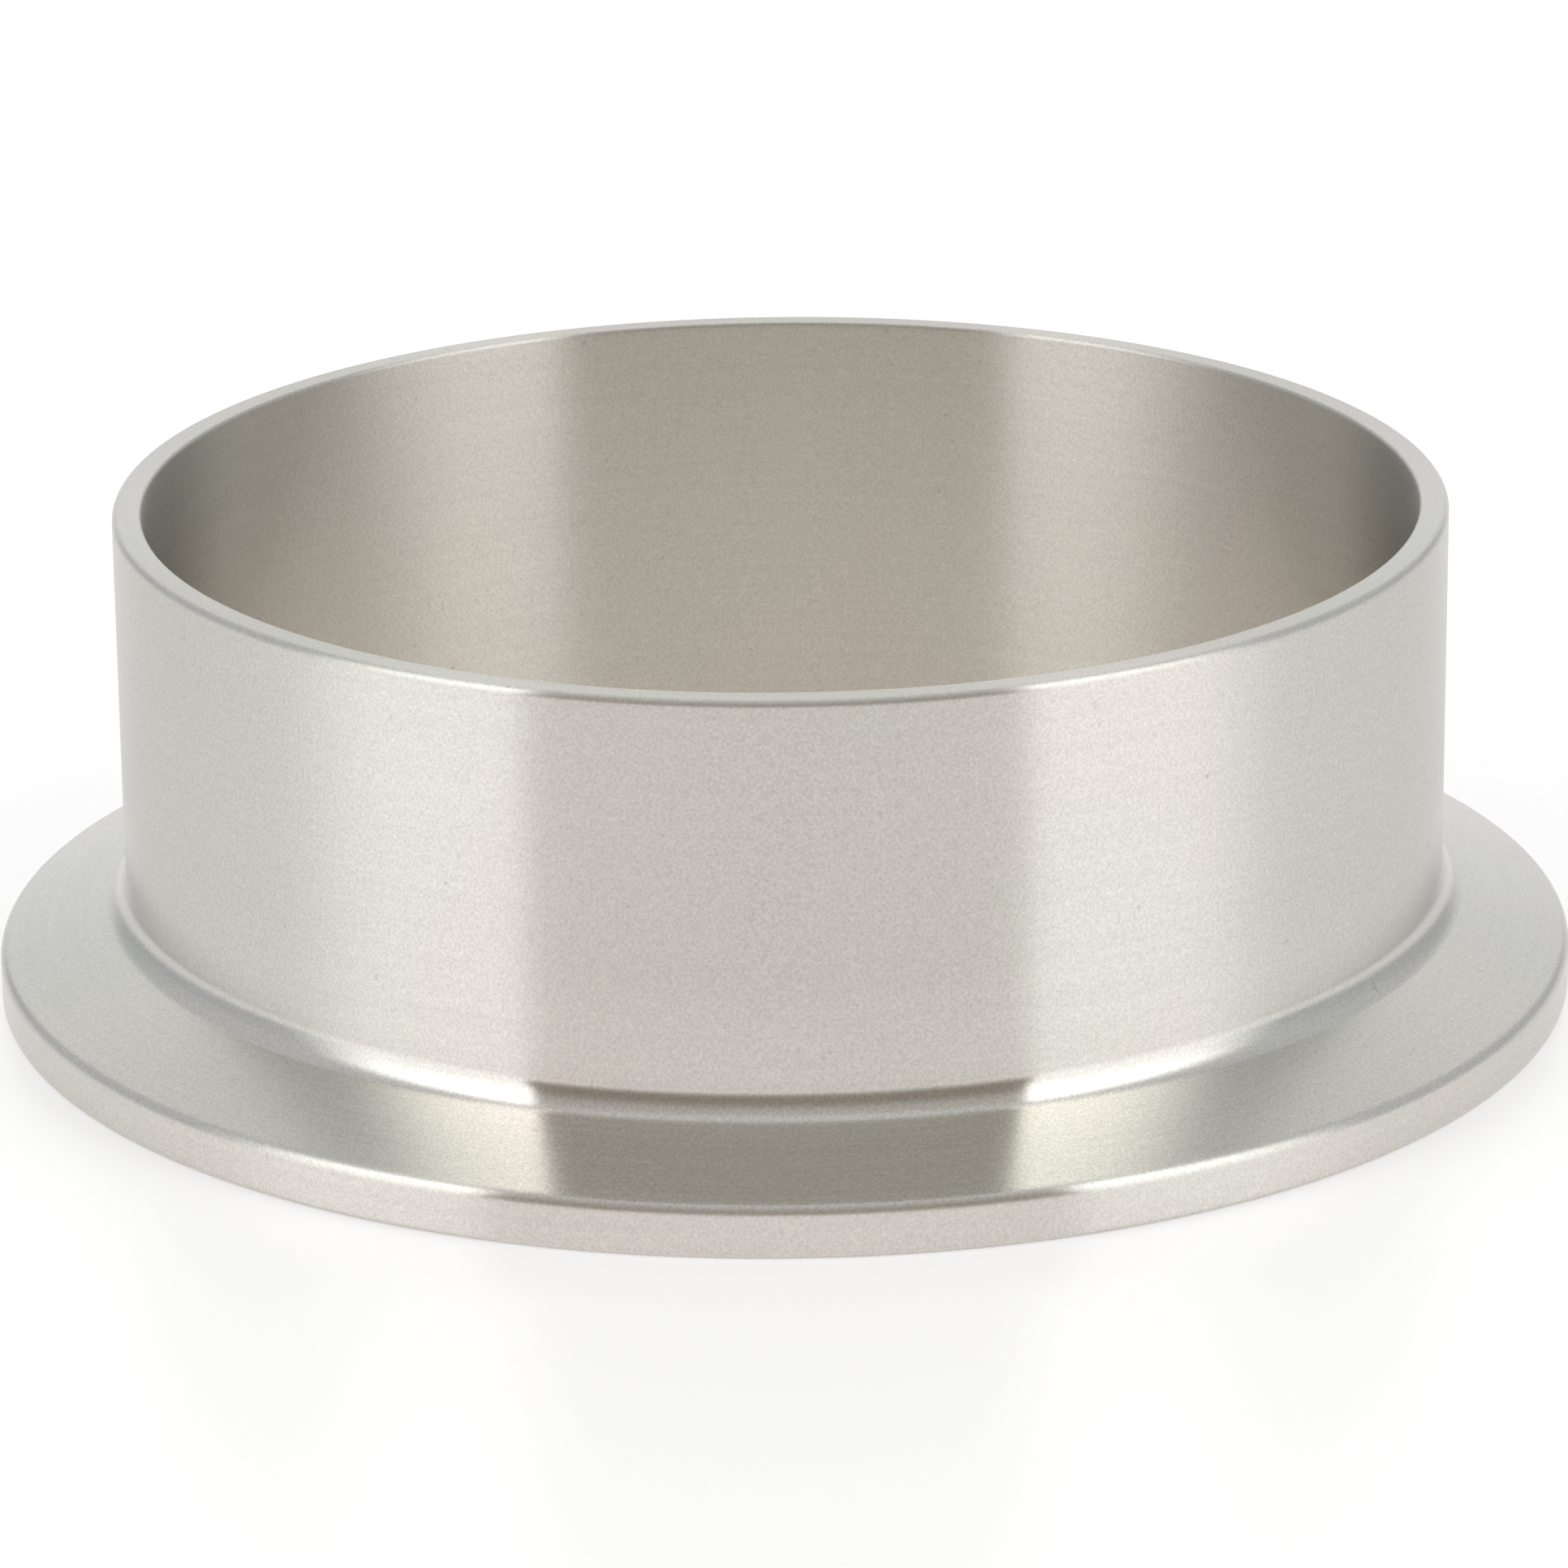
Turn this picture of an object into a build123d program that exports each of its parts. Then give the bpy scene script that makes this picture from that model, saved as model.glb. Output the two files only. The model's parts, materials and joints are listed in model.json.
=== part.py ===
from build123d import *
import os
from math import radians, sqrt, tan

# Sanitary clamp ferrule for 3 inch hygienic tube: one piece turned from stainless steel bar.
# It stands on its sealing face, with the tube end up. The origin is the centre of the sealing
# face and +Z runs along the tube. All sizes are in millimetres.

# Tube end, which is butt welded to a tube of the same size.
tube_diameter = 76.2
tube_wall = 1.65
overall_length = 28.6

# Flange, which a hinged clamp grips by its rim and its sloping back.
flange_diameter = 90.9
rim_thickness = 2.85
back_angle = 20.0

# Gasket groove in the sealing face: a shallow ring with the section of a circular arc.
groove_diameter = 83.59
groove_depth = 1.6
groove_arc_radius = 2.36

# Rounded corners: the root is the blend between the flange's back and the tube.
root_radius = 1.75
back_edge_radius = 0.6

# Broken corners, each a small 45 degree chamfer. The bore's two edges stay crisp.
tube_end_break = 0.3
face_edge_break = 0.3
groove_lip_break = 0.2

# Radii and heights that follow from the driving dimensions.
tube_radius = tube_diameter / 2
bore_radius = tube_radius - tube_wall
flange_radius = flange_diameter / 2
groove_radius = groove_diameter / 2
back_rise = (flange_radius - tube_radius) * tan(radians(back_angle))
root_height = rim_thickness + back_rise
groove_arc_height = groove_depth - groove_arc_radius
groove_half_width = sqrt(groove_arc_radius**2 - groove_arc_height**2)


def corner(sketch, radius, height):
    """The sketch's corner nearest to a radius and a height above the sealing face."""
    return sketch.vertices().sort_by_distance((radius, height, 0))[0]


with BuildPart() as ferrule:
    with BuildSketch(Plane.XZ) as section:
        # Half section: bore, sealing face, rim, sloping back, tube and its square end.
        with BuildLine():
            Polyline(
                (bore_radius, 0),
                (flange_radius, 0),
                (flange_radius, rim_thickness),
                (tube_radius, root_height),
                (tube_radius, overall_length),
                (bore_radius, overall_length),
                close=True,
            )
        make_face()

        # The gasket groove is the part of a round tool's section that dips into the face.
        with Locations((groove_radius, groove_arc_height)):
            Circle(groove_arc_radius, mode=Mode.SUBTRACT)
        chamfer(corner(section, groove_radius - groove_half_width, 0), groove_lip_break)
        chamfer(corner(section, groove_radius + groove_half_width, 0), groove_lip_break)

        # The blend at the foot of the tube, and the rounded edge that the clamp slides over.
        fillet(corner(section, tube_radius, root_height), root_radius)
        fillet(corner(section, flange_radius, rim_thickness), back_edge_radius)

        # The other outside edges are only broken.
        chamfer(corner(section, tube_radius, overall_length), tube_end_break)
        chamfer(corner(section, flange_radius, 0), face_edge_break)

    # One full turn about the tube's axis, as on the lathe.
    revolve(axis=Axis.Z)

ferrule.part.label = "ferrule"

os.makedirs("parts", exist_ok=True)
export_step(ferrule.part, "parts/ferrule.step")

box = ferrule.part.bounding_box()
print(f"ferrule: {box.size.X:.2f} x {box.size.Y:.2f} x {box.size.Z:.2f} mm")
print(f"volume {ferrule.part.volume / 1000:.2f} cm3, {len(ferrule.part.faces())} faces")
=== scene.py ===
# %% [markdown]
# # A sanitary clamp ferrule
# A ferrule is the short flared stub that is welded to the end of a hygienic tube, so that a
# clamp can pull two tube ends together on a gasket. The real one is turned from a bar of
# stainless steel, so every surface on it is a body of revolution about one axis.
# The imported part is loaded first. It is the fixed frame: sizes and places are read from it.

# %% Load the frame
import json
from math import acos, cos, pi, radians, sin, tan

import bpy
from mathutils import Matrix, Vector


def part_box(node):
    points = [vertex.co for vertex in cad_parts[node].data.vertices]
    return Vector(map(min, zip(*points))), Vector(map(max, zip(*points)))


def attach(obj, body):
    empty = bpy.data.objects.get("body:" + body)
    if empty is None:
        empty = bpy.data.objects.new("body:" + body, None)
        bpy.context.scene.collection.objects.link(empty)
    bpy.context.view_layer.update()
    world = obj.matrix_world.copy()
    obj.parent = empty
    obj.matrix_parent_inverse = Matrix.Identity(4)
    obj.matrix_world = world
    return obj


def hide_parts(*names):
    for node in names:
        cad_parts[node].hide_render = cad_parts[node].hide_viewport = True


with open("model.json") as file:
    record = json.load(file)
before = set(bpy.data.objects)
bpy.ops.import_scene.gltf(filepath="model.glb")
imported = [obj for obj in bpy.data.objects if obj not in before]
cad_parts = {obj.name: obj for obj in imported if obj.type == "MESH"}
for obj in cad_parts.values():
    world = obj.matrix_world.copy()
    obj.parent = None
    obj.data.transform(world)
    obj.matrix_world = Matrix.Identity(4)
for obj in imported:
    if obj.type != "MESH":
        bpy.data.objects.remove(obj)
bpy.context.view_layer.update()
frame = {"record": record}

# %% [markdown]
# ## Sizes
# The radii that another part must fit are mounts in the record, so they are read from there,
# and the length comes from the node's box. The flange's section has a few more sizes of its
# own. A ferrule of this kind always has a back that slopes by 20 degrees, because the clamp's
# groove is cut to that slope.

# %% Read and name the sizes
MM = 0.001
mounts = {mount["name"]: mount for mount in frame["record"]["mounts"]}
bore_radius = mounts["flow_bore"]["dims"]["r_mm"] * MM
tube_radius = mounts["tube_outside"]["dims"]["r_mm"] * MM
flange_radius = mounts["clamp_rim"]["dims"]["r_mm"] * MM
foot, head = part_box("ferrule")
length = head[2] - foot[2]

rim_thickness = 2.85 * MM
back_slope = radians(20)
root_height = rim_thickness + (flange_radius - tube_radius) * tan(back_slope)

groove_radius = 83.59 / 2 * MM
groove_depth = 1.6 * MM
groove_arc_radius = 2.36 * MM
print(f"bore {bore_radius:.5f}, tube {tube_radius:.5f}, flange {flange_radius:.5f} m")
print(f"length {length:.4f} m")

# %% [markdown]
# ## The section, drawn as a line
# A turned piece can be modelled from a cylinder, by insets and extrusions, but its profile is
# then spread over many rings. Drawing half of its section as a line and spinning that line
# keeps the whole profile in one place, which is also how a lathe makes it.
# The pen is one vertex: a small plane whose corners are merged. Each extrusion of the vertex
# draws one straight stretch, starting at the foot of the bore.

# %% Put down the pen
def only(thing):
    """Selects one object and makes it the active one."""
    bpy.ops.object.select_all(action="DESELECT")
    thing.select_set(True)
    bpy.context.view_layer.objects.active = thing


bpy.ops.object.select_all(action="DESELECT")
bpy.ops.mesh.primitive_plane_add(size=MM, location=(bore_radius, 0, 0))
ferrule = bpy.context.object
ferrule.name = "ferrule_turned"
ferrule.data.name = "ferrule_turned"
bpy.ops.object.transform_apply(location=True, rotation=True, scale=True)
bpy.ops.object.mode_set(mode="EDIT")
bpy.ops.mesh.select_all(action="SELECT")
bpy.ops.mesh.merge(type="CENTER")
pen = Vector((bore_radius, 0, 0))
print("pen at", [round(value, 5) for value in pen])

# %% [markdown]
# The first stretch is the inner part of the sealing face, up to the lip of the gasket groove.
# The groove is an arc, so the vertex is spun about the arc's centre, which lies below the
# face: a spin of a single vertex about the Y axis draws an arc in the plane of the section.

# %% Draw the sealing face with its groove
def draw_to(radius, height):
    """Extrudes the pen to a new radius and height, leaving a straight edge behind it."""
    target = Vector((radius, 0, height))
    bpy.ops.mesh.extrude_vertices_move(TRANSFORM_OT_translate={"value": target - pen})
    pen[:] = target


GROOVE_STEPS = 24
groove_centre_height = groove_depth - groove_arc_radius
groove_half_angle = acos(-groove_centre_height / groove_arc_radius)
groove_half_width = groove_arc_radius * sin(groove_half_angle)

draw_to(groove_radius - groove_half_width, 0)
bpy.ops.mesh.spin(
    steps=GROOVE_STEPS,
    angle=2 * groove_half_angle,
    center=(groove_radius, 0, groove_centre_height),
    axis=(0, -1, 0),
)
pen[:] = (groove_radius + groove_half_width, 0, 0)
print(f"groove {2 * groove_half_width / MM:.2f} mm wide and {groove_depth / MM:.2f} mm deep")

# %% [markdown]
# The rest is straight: the outer part of the face, the rim, the sloping back up to the tube,
# the tube, its flat end and the bore. The last stretch comes back to the start, and its end
# is merged with the first vertex, so that the outline is closed.

# %% Draw the rim, the back, the tube and the bore
draw_to(flange_radius, 0)
draw_to(flange_radius, rim_thickness)
draw_to(tube_radius, root_height)
draw_to(tube_radius, length)
draw_to(bore_radius, length)
draw_to(bore_radius, 0)

MERGE_DISTANCE = 0.001 * MM
bpy.ops.mesh.select_all(action="SELECT")
bpy.ops.mesh.remove_doubles(threshold=MERGE_DISTANCE)
bpy.ops.object.mode_set(mode="OBJECT")
print("outline has", len(ferrule.data.vertices), "points and", len(ferrule.data.edges), "edges")

# %% [markdown]
# ## Rounded corners
# No turned corner is a perfect point: the tool's nose leaves a radius at the root, and the
# outer edges are broken so that they don't cut a hand or a gasket. These small radii matter
# more than their size says, because on polished steel each one shows as a bright line.
# A vertex bevel rounds a corner of an outline. It measures along the edges, so a radius is
# turned into that length with the angle through which the outline turns at the corner.

# %% Round the corners of the outline
def round_corner(radius, height, rounding, turn, segments):
    """Bevels the outline's vertex at this radius and height to an arc of the given rounding."""
    bpy.ops.object.mode_set(mode="EDIT")
    bpy.ops.mesh.select_all(action="DESELECT")
    bpy.ops.object.mode_set(mode="OBJECT")
    corner = Vector((radius, 0, height))
    for vertex in ferrule.data.vertices:
        vertex.select = (vertex.co - corner).length < MERGE_DISTANCE
    bpy.ops.object.mode_set(mode="EDIT")
    bpy.ops.mesh.bevel(
        offset=rounding * tan(turn / 2), segments=segments, affect="VERTICES", profile=0.5
    )
    print(f"corner at {radius / MM:.2f}, {height / MM:.2f} mm rounded to {rounding / MM:.2f} mm")


SQUARE = radians(90)
BACK_TURN = SQUARE - back_slope

ROOT_ROUNDING = 1.75 * MM
RIM_BACK_ROUNDING = 0.6 * MM
RIM_FOOT_ROUNDING = 0.3 * MM
TUBE_END_ROUNDING = 0.42 * MM
BORE_END_ROUNDING = 0.25 * MM
BORE_FOOT_ROUNDING = 0.1 * MM
LIP_ROUNDING = 0.2 * MM

round_corner(tube_radius, root_height, ROOT_ROUNDING, BACK_TURN, segments=14)
round_corner(flange_radius, rim_thickness, RIM_BACK_ROUNDING, BACK_TURN, segments=10)
round_corner(tube_radius, length, TUBE_END_ROUNDING, SQUARE, segments=12)
round_corner(flange_radius, 0, RIM_FOOT_ROUNDING, SQUARE, segments=8)
round_corner(bore_radius, length, BORE_END_ROUNDING, SQUARE, segments=8)
round_corner(bore_radius, 0, BORE_FOOT_ROUNDING, SQUARE, segments=6)
for lip_radius in (groove_radius - groove_half_width, groove_radius + groove_half_width):
    round_corner(lip_radius, 0, LIP_ROUNDING, groove_half_angle, segments=6)

# %% [markdown]
# ## Turning the piece
# Spinning the closed outline about the Z axis through a full turn makes the whole surface.
# The last ring lands on the first, so the doubles are merged, and only then are the normals
# recalculated, because on an open seam they could come out reversed.
# The steps are a multiple of four, so that the mesh reaches its full radius along X and Y.

# %% Spin the outline
TURN_STEPS = 288
bpy.ops.mesh.select_all(action="SELECT")
bpy.ops.mesh.spin(steps=TURN_STEPS, angle=2 * pi, center=(0, 0, 0), axis=(0, 0, 1))
bpy.ops.mesh.select_all(action="SELECT")
bpy.ops.mesh.remove_doubles(threshold=MERGE_DISTANCE)
bpy.ops.mesh.normals_make_consistent(inside=False)
bpy.ops.object.mode_set(mode="OBJECT")
print("turned mesh has", len(ferrule.data.polygons), "faces")

# %% [markdown]
# Smooth shading blends the normals of neighbouring faces. A tall flat wall beside a narrow
# bevel would then look bowed, so a Weighted Normal modifier lets the larger face decide. The
# walls stay true and the bend is left to the narrow rings of the corners.

# %% Smooth it without bowing the walls
only(ferrule)
bpy.ops.object.shade_smooth()
bpy.ops.object.modifier_add(type="WEIGHTED_NORMAL")
weighted = ferrule.modifiers[-1]
weighted.mode = "FACE_AREA"
weighted.weight = 100
bpy.ops.object.modifier_apply(modifier=weighted.name)
triangles = sum(len(face.vertices) - 2 for face in ferrule.data.polygons)
print("finished mesh has", triangles, "triangles")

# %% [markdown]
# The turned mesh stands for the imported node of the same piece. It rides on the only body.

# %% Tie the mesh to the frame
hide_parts("ferrule")
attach(ferrule, "root")
print("ferrule_turned stands for the packed ferrule")

# %% [markdown]
# ## Turned stainless steel
# The finish is a satin turned one. The tool's fine grooves all run round the axis, so light is
# spread along the axis and hardly at all around it: reflections become upright bands with
# crisp sides. The shader's anisotropy does that without any visible groove.
# Two small helpers keep the node code short.

# %% Helpers for nodes
def add_node(tree, kind, inputs=(), **settings):
    """Adds a node, applies its settings, then gives each named input a value or a link."""
    node = tree.nodes.new(kind)
    for name, value in settings.items():
        setattr(node, name, value)
    for key, value in dict(inputs).items():
        if isinstance(value, bpy.types.NodeSocket):
            tree.links.new(value, node.inputs[key])
        else:
            node.inputs[key].default_value = value
    return node


def maths(tree, operation, *values):
    """The output of a Math node with these values or links."""
    return add_node(tree, "ShaderNodeMath", enumerate(values), operation=operation).outputs[0]


print("node helpers are ready")

# %% [markdown]
# Everything on a turned piece depends on where a point lies: its radius from the axis, its
# height, and its heading, which is the direction from the axis. These come from the object's
# own coordinates, so they need no unwrapping.

# %% Place on the turned surface
steel = bpy.data.materials.new("turned_stainless_steel")
steel.use_nodes = True
tree = steel.node_tree
shader = tree.nodes["Principled BSDF"]

place = add_node(tree, "ShaderNodeTexCoord").outputs["Object"]
parts = add_node(tree, "ShaderNodeSeparateXYZ", {0: place})
across = add_node(tree, "ShaderNodeCombineXYZ", {0: parts.outputs[0], 1: parts.outputs[1]})
radius = add_node(tree, "ShaderNodeVectorMath", {0: across.outputs[0]}, operation="LENGTH")
radius = radius.outputs["Value"]
heading = add_node(
    tree, "ShaderNodeVectorMath", {0: across.outputs[0]}, operation="NORMALIZE"
).outputs[0]
height = parts.outputs[2]
along = maths(tree, "SUBTRACT", radius, height)
print("radius, height and heading take", len(tree.nodes), "nodes")

# %% [markdown]
# The grooves need a pattern that changes fast along the profile and slowly around it. Noise is
# read at a point made of the heading and the distance along the profile, which is the radius
# less the height. That has no seam anywhere.

# %% Ring pattern
def rings(grooves_per_mm, wander, detail):
    """Noise in rings about the axis: finer with grooves_per_mm, more broken with wander."""
    turn = add_node(
        tree, "ShaderNodeVectorMath", {0: heading, 3: wander}, operation="SCALE"
    ).outputs[0]
    heading_parts = add_node(tree, "ShaderNodeSeparateXYZ", {0: turn})
    depth = maths(tree, "MULTIPLY", along, grooves_per_mm / MM)
    point = add_node(
        tree,
        "ShaderNodeCombineXYZ",
        {0: heading_parts.outputs[0], 1: heading_parts.outputs[1], 2: depth},
    ).outputs[0]
    inputs = {"Vector": point, "Scale": 1.0, "Detail": detail}
    return add_node(tree, "ShaderNodeTexNoise", inputs).outputs[0]


fine = rings(grooves_per_mm=6.0, wander=1.5, detail=1.0)
broad = rings(grooves_per_mm=2.5, wander=1.5, detail=3.0)
print("steel has", len(tree.nodes), "nodes so far")

# %% [markdown]
# Stainless steel is a warm grey. Here it drifts between a pinkish and a greenish grey, and it
# carries a fine grain, a few dark specks and faint streaks round the axis, as a handled turned
# piece does. A picture wrapped round the piece would need a seam. Noise read in the object's
# own coordinates has none, and stays in place when the piece is moved.

# %% Colour
def ramp(value, start, end, low, high):
    """Maps a value from the range start to end onto the range low to high."""
    ends = {0: value, 1: start, 2: end, 3: low, 4: high}
    return add_node(tree, "ShaderNodeMapRange", ends).outputs[0]


def noise(scale, detail):
    """Noise in the object's own coordinates."""
    inputs = {"Vector": place, "Scale": scale, "Detail": detail}
    return add_node(tree, "ShaderNodeTexNoise", inputs).outputs[0]


STEEL_PINK = (0.768, 0.742, 0.704, 1)
STEEL_GREEN = (0.750, 0.747, 0.700, 1)
tint = add_node(tree, "ShaderNodeValToRGB", {0: noise(scale=55.0, detail=3.0)})
tint.color_ramp.elements[0].position = 0.35
tint.color_ramp.elements[0].color = STEEL_PINK
tint.color_ramp.elements[1].position = 0.65
tint.color_ramp.elements[1].color = STEEL_GREEN

grain = ramp(noise(scale=6500.0, detail=1.0), start=0.25, end=0.75, low=0.89, high=1.11)
specks = ramp(noise(scale=1300.0, detail=2.0), start=0.72, end=0.80, low=1.0, high=0.8)
streaks = ramp(broad, start=0.3, end=0.7, low=0.978, high=1.022)
shade = maths(tree, "MULTIPLY", maths(tree, "MULTIPLY", grain, specks), streaks)
colour = add_node(
    tree, "ShaderNodeVectorMath", {0: tint.outputs[0], 3: shade}, operation="SCALE"
).outputs[0]
tree.links.new(colour, shader.inputs["Base Color"])
print("colour drifts between", STEEL_PINK[:3], "and", STEEL_GREEN[:3])

# %% [markdown]
# The tool left its own finish on each part of the piece. The flange was cut finest, so it
# mirrors most, the tube is satin, and the bore is the dullest. The edges that were broken with
# an abrasive are a little duller than the faces beside them. Height tells the flange from the
# tube and radius tells the bore from the outside, so no face has to be picked by hand.

# %% Roughness
TUBE_ROUGHNESS = 0.25
FLANGE_ROUGHNESS = 0.16
BORE_ROUGHNESS = 0.33
ROOT_FOOT = 6.0 * MM
ROOT_TOP = 13.0 * MM
BORE_SKIN = 0.1 * MM
EDGE_WIDTH = 0.6 * MM
RIM_DULLNESS = 0.10
END_DULLNESS = 0.04


def near(value, limit, amount):
    """Rises from 0 to the amount as a value comes within half the width of an edge of a limit."""
    return ramp(value, limit - EDGE_WIDTH, limit - EDGE_WIDTH / 2, 0, amount)


outside = ramp(height, ROOT_FOOT, ROOT_TOP, FLANGE_ROUGHNESS, TUBE_ROUGHNESS)
is_outside = maths(tree, "GREATER_THAN", radius, bore_radius + BORE_SKIN)
finish = ramp(is_outside, start=0, end=1, low=BORE_ROUGHNESS, high=outside)

near_rim = near(radius, flange_radius, RIM_DULLNESS)
near_back = near(height, rim_thickness, RIM_DULLNESS)
rim_edge = maths(tree, "MINIMUM", near_rim, near_back)
end_edge = near(height, length, END_DULLNESS)
finish = maths(tree, "ADD", finish, maths(tree, "MAXIMUM", rim_edge, end_edge))
uneven = ramp(broad, start=0.3, end=0.7, low=0.97, high=1.03)
tree.links.new(maths(tree, "MULTIPLY", finish, uneven), shader.inputs["Roughness"])
print("roughness: tube", TUBE_ROUGHNESS, "flange", FLANGE_ROUGHNESS, "bore", BORE_ROUGHNESS)

# %% [markdown]
# Anisotropy needs to know which way the grooves run. The radial tangent about Z follows the
# turning, and a rotation by a quarter turns the blur along the axis. The bump is far shallower
# than the real grooves, because it only has to unsettle the reflections a little.

# %% Grooves
GROOVE_DEPTH = 0.0002 * MM
bump = add_node(
    tree, "ShaderNodeBump", {"Strength": 0.5, "Distance": GROOVE_DEPTH, "Height": fine}
)
tree.links.new(bump.outputs[0], shader.inputs["Normal"])

tangent = add_node(tree, "ShaderNodeTangent", direction_type="RADIAL", axis="Z")
tree.links.new(tangent.outputs[0], shader.inputs["Tangent"])
shader.inputs["Metallic"].default_value = 1.0
shader.inputs["Anisotropic"].default_value = 1.0
shader.inputs["Anisotropic Rotation"].default_value = 0.25

ferrule.data.materials.clear()
ferrule.data.materials.append(steel)
print("steel has", len(tree.nodes), "nodes")

# %% [markdown]
# ## The camera
# A long lens looks at the part from a little above, so that the bore, the root and the back of
# the flange all show. It looks along +Y and down, at a point a little below the middle of the
# height, and is rolled by a fraction of a degree. It is set up before the light, because the
# light is arranged for what the lens sees.

# %% Camera
LENS = 174.9
SENSOR = 36.0
DISTANCE = 0.4411
ELEVATION = radians(18.88)
ROLL = -0.0102
AIM = Vector((0.00005, 0, 0.01098))

eye = AIM + DISTANCE * Vector((0, -cos(ELEVATION), sin(ELEVATION)))
camera_data = bpy.data.cameras.new("camera")
camera_data.lens = LENS
camera_data.sensor_width = SENSOR
camera_data.clip_start = 0.01
camera = bpy.data.objects.new("camera", camera_data)
bpy.context.scene.collection.objects.link(camera)
camera.matrix_world = (
    Matrix.Translation(eye)
    @ Matrix.Rotation(pi / 2 - ELEVATION, 4, "X")
    @ Matrix.Rotation(ROLL, 4, "Z")
)
bpy.context.scene.camera = camera
bpy.context.scene.view_settings.view_transform = "Standard"
print("camera at", [round(value, 4) for value in eye])

# %% [markdown]
# ## The floor
# A flat pale plane, far larger than the view. It lies a hair below the sealing face, so that the
# two never share a plane. To a lens that looks down, an upright metal wall shows the floor, so
# the floor is slightly glossy, as coated paper is: its faint mirror image of the tent carries
# the bright and dark bands down the wall to the root.

# %% Floor
FLOOR_SIZE = 12.0
FLOOR_GAP = 0.01 * MM
FLOOR_COLOUR = (0.8, 0.8, 0.8, 1)
FLOOR_ROUGHNESS = 0.3

bpy.ops.object.select_all(action="DESELECT")
bpy.ops.mesh.primitive_plane_add(size=FLOOR_SIZE, location=(0, 0, -FLOOR_GAP))
floor = bpy.context.object
floor.name = "floor"

paper = bpy.data.materials.new("coated_paper")
paper.use_nodes = True
paper_tree = paper.node_tree
paper_shader = paper_tree.nodes["Principled BSDF"]
paper_shader.inputs["Base Color"].default_value = FLOOR_COLOUR
paper_shader.inputs["Roughness"].default_value = FLOOR_ROUGHNESS
paper_shader.inputs["Specular IOR Level"].default_value = 0.5
floor.data.materials.append(paper)
print("floor is", FLOOR_SIZE, "m wide")

# %% [markdown]
# More lamps would whiten the paper and burn out the steel. Instead the floor has a light of its
# own that only camera and glossy rays see, so it adds nothing to the object's light. The lens
# sees white paper with the ferrule's soft shadow still on it. The light that the metal sees is
# painted shade in two ways: it fades towards the back, as if the paper lay in the part's shade
# there, and inside the bore it is dimmer and warmer, a painted shade with a painted warm glow
# of light bounced off the steel.

# %% Lift the floor to white
LIFT_IN_VIEW = (0.40, 0.402, 0.412, 1)
LIFT_OUTSIDE = (0.333, 0.314, 0.314)
# Inside the bore the lift is dimmer and warmer: painted shade and painted light bounced off the
# steel.
BORE_LIFT_PAINTED_SHADE_AND_BOUNCE = (0.325, 0.282, 0.242, 1)
# The lift that the metal sees falls towards the back: painted shade behind the part.
BACK_SHADE_START = -50 * MM
BACK_SHADE_END = 40 * MM
BACK_SHADE_SHARE = 0.6

spot = add_node(paper_tree, "ShaderNodeTexCoord").outputs["Object"]
spot_parts = add_node(paper_tree, "ShaderNodeSeparateXYZ", {0: spot})
# Painted shade: the metal's lift falls to a share of itself towards the back.
painted_back_shade = add_node(
    paper_tree,
    "ShaderNodeMapRange",
    {0: spot_parts.outputs[1], 1: BACK_SHADE_START, 2: BACK_SHADE_END, 3: 1.0, 4: BACK_SHADE_SHARE},
).outputs[0]
lift_outside = add_node(
    paper_tree, "ShaderNodeVectorMath", {0: LIFT_OUTSIDE, 3: painted_back_shade}, operation="SCALE"
).outputs[0]

# Under the tube the metal sees the bore's lift: a painted shade on the floor inside the bore.
from_axis = add_node(paper_tree, "ShaderNodeVectorMath", {0: spot}, operation="LENGTH")
painted_bore_shade = maths(paper_tree, "LESS_THAN", from_axis.outputs["Value"], tube_radius)
lift_in_metal = add_node(
    paper_tree, "ShaderNodeMix", {0: painted_bore_shade, 6: lift_outside, 7: BORE_LIFT_PAINTED_SHADE_AND_BOUNCE}, data_type="RGBA"
).outputs[2]

ray = add_node(paper_tree, "ShaderNodeLightPath")
in_camera = ray.outputs["Is Camera Ray"]
in_gloss = ray.outputs["Is Glossy Ray"]
lift = add_node(
    paper_tree, "ShaderNodeMix", {0: in_gloss, 6: LIFT_IN_VIEW, 7: lift_in_metal}, data_type="RGBA"
).outputs[2]
lifted = maths(paper_tree, "MAXIMUM", in_camera, in_gloss)
paper_tree.links.new(lift, paper_shader.inputs["Emission Color"])
paper_tree.links.new(lifted, paper_shader.inputs["Emission Strength"])
print("paper has", len(paper_tree.nodes), "nodes")

# %% [markdown]
# ## A light tent
# Shiny metal shows what is around it, so small turned parts are lit in a tent of white cloth
# with an opening at the front for the lens. Lamps and cards could be modelled for it. A world
# shader is simpler, because the direction of a ray says where on the cloth it lands. The
# horizontal part of the direction, scaled to length one, gives the bearing, and its height
# gives the level on the cloth.

# %% Direction of a ray in the tent
world = bpy.data.worlds.new("light_tent")
bpy.context.scene.world = world
world.use_nodes = True
sky = world.node_tree
cloth_light = sky.nodes["Background"]

toward = add_node(sky, "ShaderNodeTexCoord").outputs["Generated"]
toward_parts = add_node(sky, "ShaderNodeSeparateXYZ", {0: toward})
level = toward_parts.outputs[2]
flat = add_node(
    sky, "ShaderNodeCombineXYZ", {0: toward_parts.outputs[0], 1: toward_parts.outputs[1]}
).outputs[0]
bearing = add_node(sky, "ShaderNodeVectorMath", {0: flat}, operation="NORMALIZE").outputs[0]


def fade(value, start, end):
    """A smooth step from 0 where the value is start to 1 where it is end."""
    return add_node(
        sky,
        "ShaderNodeMapRange",
        {"Value": value, "From Min": start, "From Max": end},
        interpolation_type="SMOOTHSTEP",
    ).outputs[0]


def rising(start, end):
    """0 on the cloth up to the start and 1 above the end, both in degrees over the horizon."""
    return fade(level, sin(radians(start)), sin(radians(end)))


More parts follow.
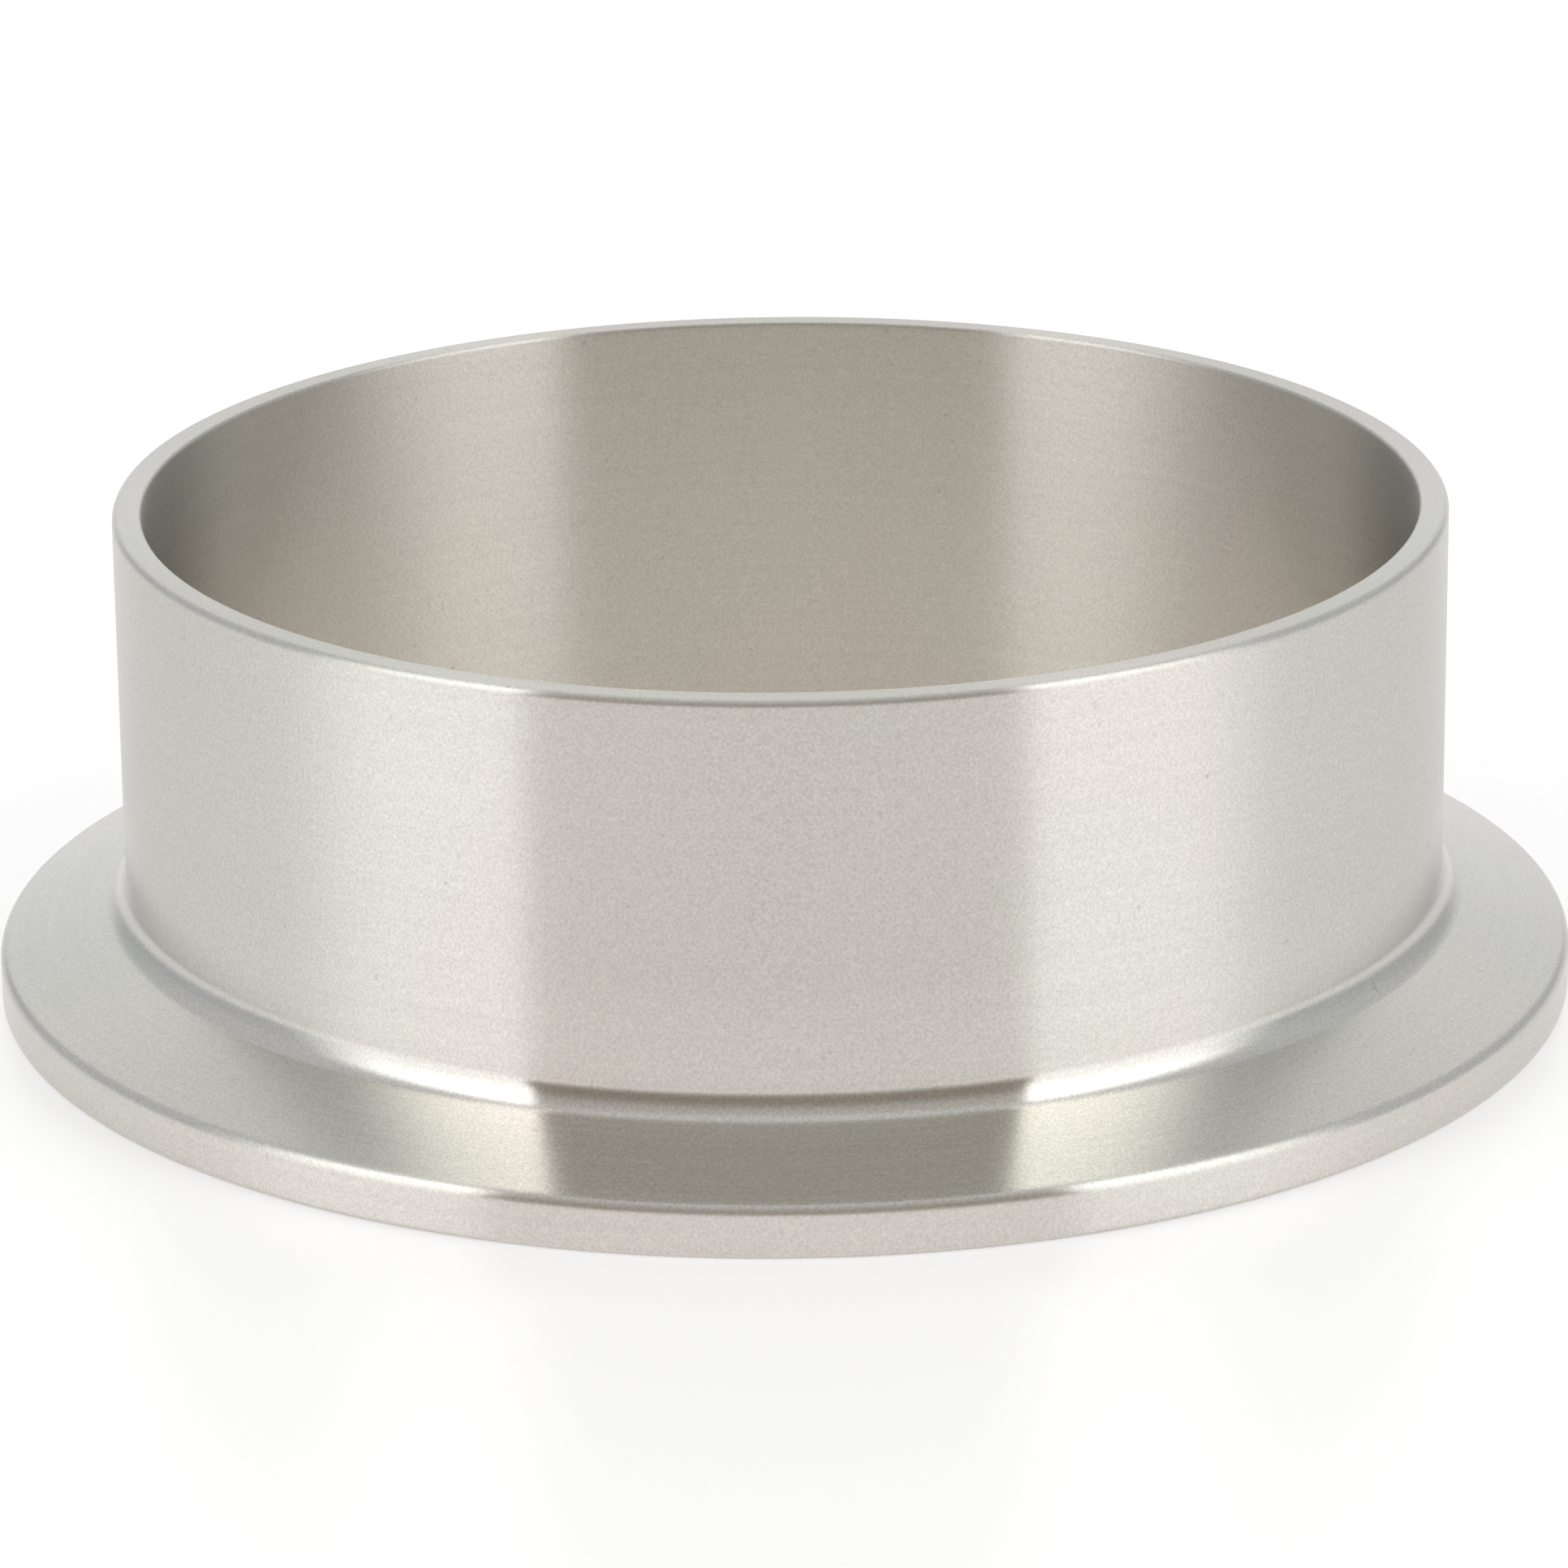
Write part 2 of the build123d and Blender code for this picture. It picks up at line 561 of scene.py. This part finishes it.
def along_direction(vector, direction):
    """How much of a vector points along a fixed direction."""
    return add_node(
        sky, "ShaderNodeVectorMath", {0: vector, 1: direction}, operation="DOT_PRODUCT"
    ).outputs["Value"]


def past(ahead, bearing_angle, softness):
    """1 ahead of a bearing in degrees from the front, 0 behind it, with a soft edge."""
    far_side = cos(radians(bearing_angle + softness))
    near_side = cos(radians(bearing_angle - softness))
    return fade(ahead, far_side, near_side)


print("tent has", len(sky.nodes), "nodes so far")

# %% [markdown]
# The opening's edges are what the metal turns into its crisp upright bands, so they need the
# most care. A turned wall spreads a reflection along one curve on the tent, on which every
# direction makes the same angle with the grooves. An upright edge would cross many of those
# curves and blur away higher up. An edge that follows one of them stays crisp from the end of
# the tube, through the root, to the back of the flange. Each edge is placed by the heading on
# the wall where its dark band ends. It is drawn in a little above the horizon, because a real
# panel stands at a distance and isn't a drawing on the sky.

# %% Edges of the opening
BAND_LEFT = radians(-21.4)
BAND_RIGHT = radians(20.3)
BAND_HEIGHT = 17 * MM
EDGE_DRAWN_IN = 0.022
EDGE_SOFTNESS = 0.011

drawn_in = maths(sky, "MULTIPLY", rising(start=5, end=30), EDGE_DRAWN_IN)


def inside_edge(heading_angle):
    """1 inside the edge of the opening that ends the wall's dark band at this heading."""
    outward = Vector((sin(heading_angle), -cos(heading_angle), 0))
    groove = Vector((cos(heading_angle), sin(heading_angle), 0))
    if heading_angle < 0:
        groove = -groove
    spot_on_wall = tube_radius * outward + Vector((0, 0, BAND_HEIGHT))
    sight = (spot_on_wall - eye).normalized()
    held = sight.dot(groove)
    print("edge holds", round(held, 4), "of the grooves' direction")
    reach = maths(sky, "ADD", along_direction(toward, groove), drawn_in)
    return fade(reach, held + EDGE_SOFTNESS, held - EDGE_SOFTNESS)


between_edges = maths(sky, "MULTIPLY", inside_edge(BAND_LEFT), inside_edge(BAND_RIGHT))

# %% [markdown]
# The cloth is brighter behind the part than at its sides, and brighter high up than low down.
# Two bright panels stand beside the opening and lean outwards a little. The opening is dark,
# because only the room is behind it, and the roof is a dimmer cloth. Each blend lays the next
# area over those before it.

# %% Cloth, panels, opening and roof
BACK_LOW = (0.79, 0.80, 0.81, 1)
BACK_HIGH = (0.965, 0.96, 0.93, 1)
SIDE_LOW = (0.43, 0.445, 0.465, 1)
SIDE_HIGH = (0.55, 0.555, 0.56, 1)
PANEL_LOW = (1.24, 1.24, 1.22, 1)
PANEL_HIGH = (1.90, 1.90, 1.86, 1)
OPENING_LOW = (0.26, 0.225, 0.185, 1)
OPENING_HIGH = (0.50, 0.48, 0.46, 1)
ROOF = (0.66, 0.66, 0.66, 1)
PANEL_LEAN = 0.14


def blend(share, first, second):
    """A colour between two colours, by the share of the second."""
    return add_node(
        sky, "ShaderNodeMix", {0: share, 6: first, 7: second}, data_type="RGBA"
    ).outputs[2]


back = blend(rising(start=15, end=35), BACK_LOW, BACK_HIGH)
side = blend(rising(start=0, end=32), SIDE_LOW, SIDE_HIGH)
panel = blend(rising(start=15, end=50), PANEL_LOW, PANEL_HIGH)
opening = blend(rising(start=25, end=58), OPENING_LOW, OPENING_HIGH)

ahead = along_direction(bearing, (0, -1, 0))
lean = maths(sky, "MULTIPLY", rising(start=18, end=50), PANEL_LEAN)
is_side = past(ahead, bearing_angle=158, softness=12)
is_panel = past(maths(sky, "ADD", ahead, lean), bearing_angle=82, softness=13)
is_front = past(ahead, bearing_angle=108, softness=8)
is_opening = maths(sky, "MULTIPLY", between_edges, is_front)

cloth = blend(is_side, back, side)
cloth = blend(is_panel, cloth, panel)
cloth = blend(is_opening, cloth, opening)
cloth = blend(rising(start=64, end=76), cloth, ROOF)
sky.links.new(cloth, cloth_light.inputs["Color"])
print("tent has", len(sky.nodes), "nodes")

# %% [markdown]
# What the lens sees past the floor is plain white paper. A second Background is picked by the
# Light Path's camera ray, so that this white adds no light to the object.

# %% White backdrop
backdrop = add_node(sky, "ShaderNodeBackground", {"Color": (1, 1, 1, 1), "Strength": 1.0})
sky_ray = add_node(sky, "ShaderNodeLightPath")
choose = add_node(
    sky,
    "ShaderNodeMixShader",
    {0: sky_ray.outputs["Is Camera Ray"], 1: cloth_light.outputs[0], 2: backdrop.outputs[0]},
)
sky.links.new(choose.outputs[0], sky.nodes["World Output"].inputs["Surface"])
print("backdrop is white")
